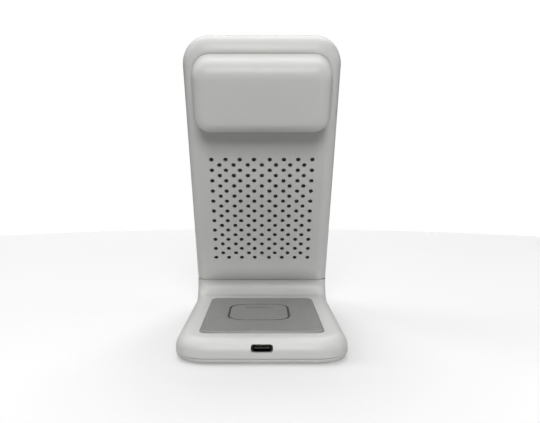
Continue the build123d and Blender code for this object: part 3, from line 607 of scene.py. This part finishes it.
def woven_screen():
    """Black threads crossing over and under each other, as two sets of bands."""
    finish = new_finish("woven_screen", IOR=1.5)
    across = step(
        finish, "TexWave", {"bands_direction": "X"}, Vector=place(finish), Scale=wave_period / thread_pitch
    ).outputs["Fac"]
    rise = step(
        finish,
        "TexWave",
        {"bands_direction": "Z"},
        Vector=place(finish),
        Scale=wave_period / (thread_pitch * cos(lean)),
    ).outputs["Fac"]
    crossing = product(finish, across, rise)
    colour = tones(finish, crossing, (0.0, (0.004, 0.004, 0.004)), (1.0, (0.03, 0.03, 0.031)))
    return apply_to_shader(finish, colour, between(finish, crossing, 0.75, 0.55), crossing, 0.1 * mm, 0.9)


dress(woven_screen(), "vent_dust_mesh")

# ---------------------------------------------------------------- watch head
# A white ABS bar with fully rounded edges, screwed to the upright from inside.  It holds the watch
# coil, its ferrite and magnet on an ivory nylon holder close under the face.


def nickel_magnet():
    """Nickel plate on a sintered magnet: bright and a little cloudy."""
    finish = new_finish("nickel_magnet", Metallic=1.0)
    cloud = mottle(finish, place(finish), 1.2 * mm, 4.0)
    colour = tones(finish, cloud, (0.3, (0.60, 0.59, 0.56)), (0.7, (0.72, 0.71, 0.68)))
    return apply_to_shader(finish, colour, between(finish, cloud, 0.12, 0.26), cloud, 0.01 * mm, 0.5)


dress(white_abs, "watch_head_shell")
dress(ivory_nylon, "watch_coil_holder")
dress(nickel_magnet(), "watch_magnet")

# ---------------------------------------------------------------- coil carrier and heat spreader
# The phone coils lie on a pierced ivory nylon carrier with an aluminium spreader behind it, which
# takes their heat to the vents.


def mill_aluminium():
    """Rolled aluminium sheet: rolling lines up the slope and dulled patches."""
    finish = new_finish("mill_aluminium", Metallic=1.0)
    rolled = mottle(finish, place(finish, stretch=(1.0, 0.05, 0.05)), 0.2 * mm, 3.0)
    patches = mottle(finish, place(finish), 12 * mm, 3.0)
    colour = tones(finish, patches, (0.3, (0.74, 0.74, 0.75)), (0.7, (0.84, 0.84, 0.85)))
    return apply_to_shader(finish, colour, between(finish, patches, 0.26, 0.42), rolled, 0.01 * mm, 0.6)


dress(ivory_nylon, "coil_carrier")
dress(mill_aluminium(), "heat_spreader")

# ---------------------------------------------------------------- upright front panel
# The far half of the upright with the hooked phone ledge in the same moulding, screwed on from the
# phone side under the face sheet.
dress(white_abs, "upright_front_panel")

# ---------------------------------------------------------------- phone face sheet
# A thin grey soft-touch sheet bonded into the recess of the phone side, over the panel screws.


def soft_touch():
    """Soft-touch film: an even pebbled grain with slightly polished, handled patches."""
    finish = new_finish("soft_touch", IOR=1.5)
    where = place(finish)
    handled = mottle(finish, where, 20 * mm, 3.0)
    pebbles = step(finish, "TexVoronoi", Vector=where, Scale=1 / (0.5 * mm)).outputs["Distance"]
    colour = tones(finish, handled, (0.3, (0.34, 0.34, 0.34)), (0.7, (0.38, 0.38, 0.375)))
    return apply_to_shader(finish, colour, between(finish, handled, 0.5, 0.66), pebbles, 0.04 * mm, 0.7)


dress(soft_touch(), "phone_face_sheet")

# ---------------------------------------------------------------- grip ring on the phone face
# A ring of grey silicone over the upper coil, moulded with fine concentric ribs that hold a phone
# and show where to put it.
grip_width = 4.0 * mm
grip_ribs = 5
grip_rib_depth = 0.15 * mm


def slant_box(node):
    """Middle, half width, height and thickness of a flat node that leans with the upright."""
    low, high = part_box(node)
    extent = high - low
    spread = cos(lean) ** 2 - sin(lean) ** 2
    along = (extent.z * cos(lean) - extent.y * sin(lean)) / spread
    through = (extent.y * cos(lean) - extent.z * sin(lean)) / spread
    return (low + high) / 2, extent.x / 2, along, through


def phone_side(middle):
    """Frame with Y up the slope and Z out of the phone face, at a point."""
    turn = Matrix((
        (-1.0, 0.0, 0.0),
        (0.0, -sin(lean), cos(lean)),
        (0.0, cos(lean), sin(lean)),
    ))
    return Matrix.Translation(middle) @ turn.to_4x4()


ring_middle, ring_radius, _, ring_thickness = slant_box("phone_grip_ring")
ring_profile = [(ring_radius - grip_width, -ring_thickness / 2), (ring_radius, -ring_thickness / 2)]
rib_shares = 8
for k in range(grip_ribs * rib_shares + 1):
    share = k / (grip_ribs * rib_shares)
    dip = grip_rib_depth * sin(pi * k / rib_shares + pi / 2) ** 2
    ring_profile.append((ring_radius - share * grip_width, ring_thickness / 2 - dip))
ring_profile.append(ring_profile[0])
grip = bmesh.new()
turned(grip, (0.0, 0.0), ring_profile, steps=128)
bmesh.ops.remove_doubles(grip, verts=grip.verts, dist=0.001 * mm)
ring_silicone = moulded_rubber("ring_silicone", (0.245, 0.245, 0.245), (0.275, 0.275, 0.272), 0.45)
piece_from(
    grip,
    "ribbed_grip_ring",
    ring_silicone,
    "pad_grey",
    "phone_grip_ring",
    pose=phone_side(ring_middle),
)

# ---------------------------------------------------------------- ledge strip
# A black rubber strip let into the ledge under the phone's lower edge, with ribs across its width
# that grip the phone and let crumbs fall between them.
strip_middle, strip_half, strip_thickness, strip_depth = slant_box("ledge_strip")
strip_corner = 2.0 * mm
strip_rib_pitch = 1.5 * mm
strip_rib_depth = 0.25 * mm
strip_edge = 0.15 * mm

strip = bmesh.new()
columns = []
column_count = round(2 * strip_half / strip_rib_pitch) * 6
for k in range(column_count + 1):
    x = -strip_half + 2 * strip_half * k / column_count
    into_corner = min(max(abs(x) - (strip_half - strip_corner), 0.0), strip_corner)
    half = strip_depth / 2 - strip_corner + (strip_corner**2 - into_corner**2) ** 0.5
    top = strip_thickness / 2 - strip_rib_depth * sin(pi * x / strip_rib_pitch) ** 2
    columns.append([
        strip.verts.new((x, across, height))
        for across, height in (
            (-half, -strip_thickness / 2),
            (-half, top - strip_edge),
            (-half + strip_edge, top),
            (half - strip_edge, top),
            (half, top - strip_edge),
            (half, -strip_thickness / 2),
        )
    ])
for left, right in zip(columns, columns[1:]):
    for k in range(len(left)):
        strip.faces.new((left[k - 1], left[k], right[k], right[k - 1]))
strip.faces.new(columns[0])
strip.faces.new(columns[-1])
strip_turn = Matrix(((1.0, 0.0, 0.0), (0.0, cos(lean), -sin(lean)), (0.0, sin(lean), cos(lean)))).to_4x4()
piece_from(
    strip, "ribbed_ledge_strip", foot_rubber, "rubber_dark", "ledge_strip",
    pose=Matrix.Translation(strip_middle) @ strip_turn,
)

# ---------------------------------------------------------------- table and studio
# A pale matt table top under a white sweep, a bright ceiling, soft lamps in front, behind and to both
# sides, and a camera level with the middle of the upright that looks over the pad at the vents.
table_radius = 0.62
sweep_radius = 4.0
sweep_steps = 12


def studio_piece(mesh, name, material):
    """Piece of the room round the stand."""
    data = bpy.data.meshes.new(name)
    mesh.to_mesh(data)
    mesh.free()
    data.materials.append(material)
    piece = bpy.data.objects.new(name, data)
    bpy.context.scene.collection.objects.link(piece)
    return piece


table_paint = new_finish("table_paint", Roughness=0.9)
apply_to_shader(
    table_paint,
    tones(
        table_paint,
        mottle(table_paint, place(table_paint), 400 * mm),
        (0.3, (0.92, 0.92, 0.92)),
        (0.7, (0.94, 0.94, 0.94)),
    ),
)
table_mesh = bmesh.new()
turned(table_mesh, (0.0, 0.0), [(0.0, 0.0), (table_radius, 0.0)], steps=96)
table_top = studio_piece(table_mesh, "table_top", table_paint)
table_top.visible_diffuse = False

# The sweep is seen behind the stand but neither lights nor shades it.
sweep_paint = new_finish("sweep_paint", Base_Color=(0.0, 0.0, 0.0, 1.0), Roughness=1.0)
sweep_shader = sweep_paint.node_tree.nodes["Principled BSDF"]
sweep_shader.inputs["Emission Color"].default_value = (1.0, 1.0, 1.0, 1.0)
sweep_shader.inputs["Emission Strength"].default_value = 1.0
sweep_mesh = bmesh.new()
sweep_profile = [
    (sweep_radius * cos(k * pi / sweep_steps - pi / 2), sweep_radius * sin(k * pi / sweep_steps - pi / 2))
    for k in range(1, sweep_steps)
]
turned(sweep_mesh, (0.0, 0.0), [(0.0, -sweep_radius), *sweep_profile, (0.0, sweep_radius)], steps=48)
sweep = studio_piece(sweep_mesh, "white_sweep", sweep_paint)
sweep.visible_diffuse = False
sweep.visible_glossy = False
sweep.visible_shadow = False
sweep.visible_transmission = False

# Light from the room by height: a bright ceiling, dark walls, and a little light from below, which
# stands for what the table throws back.
room = bpy.data.worlds.new("studio")
room.use_nodes = True
room_light = room.node_tree.nodes["Background"]
room_light.inputs["Strength"].default_value = 1.55
height_ramp = room.node_tree.nodes.new("ShaderNodeValToRGB")
room_place = room.node_tree.nodes.new("ShaderNodeTexCoord")
room_axes = room.node_tree.nodes.new("ShaderNodeSeparateXYZ")
room_height = room.node_tree.nodes.new("ShaderNodeMapRange")
room_height.inputs["From Min"].default_value = -1.0
room.node_tree.links.new(room_place.outputs["Generated"], room_axes.inputs[0])
room.node_tree.links.new(room_axes.outputs["Z"], room_height.inputs["Value"])
room.node_tree.links.new(room_height.outputs["Result"], height_ramp.inputs["Fac"])
room.node_tree.links.new(height_ramp.outputs["Color"], room_light.inputs["Color"])
levels = ((0.0, 0.62), (0.275, 0.0), (0.85, 0.0), (1.0, 0.9))
marks = height_ramp.color_ramp.elements
while len(marks) < len(levels):
    marks.new(0.5)
for mark, (at, level) in zip(marks, levels):
    mark.position = at
    mark.color = (level, level, level, 1.0)
bpy.context.scene.world = room


def soft_lamp(name, at, size, power):
    """Square area lamp that points at the middle of the stand."""
    lamp = bpy.data.lights.new(name, "AREA")
    lamp.size = size
    lamp.energy = power
    hung = bpy.data.objects.new(name, lamp)
    hung.location = at
    hung.rotation_euler = (Vector((0.0, 0.0, 0.06)) - Vector(at)).to_track_quat("-Z", "Y").to_euler()
    bpy.context.scene.collection.objects.link(hung)


soft_lamp("lamp_front", (0.0, -1.2, 0.6), 0.5, 9.8)
soft_lamp("lamp_right", (1.2, -0.1, 0.35), 0.5, 2.4)
soft_lamp("lamp_back", (0.0, 1.2, 1.4), 1.6, 15.2)
soft_lamp("lamp_left", (-1.6, 0.1, 1.2), 1.4, 9.5)

camera = bpy.data.cameras.new("camera")
camera.lens = 40.0
camera.sensor_width = 36.0
camera.shift_x = 0.01513
camera.clip_start = 0.01
viewpoint = bpy.data.objects.new("camera", camera)
viewpoint.location = (0.0, -0.3197, 0.0785)
viewpoint.rotation_euler = (radians(86.9), 0.0, 0.0)
bpy.context.scene.collection.objects.link(viewpoint)
bpy.context.scene.camera = viewpoint
bpy.context.scene.view_settings.view_transform = "Standard"
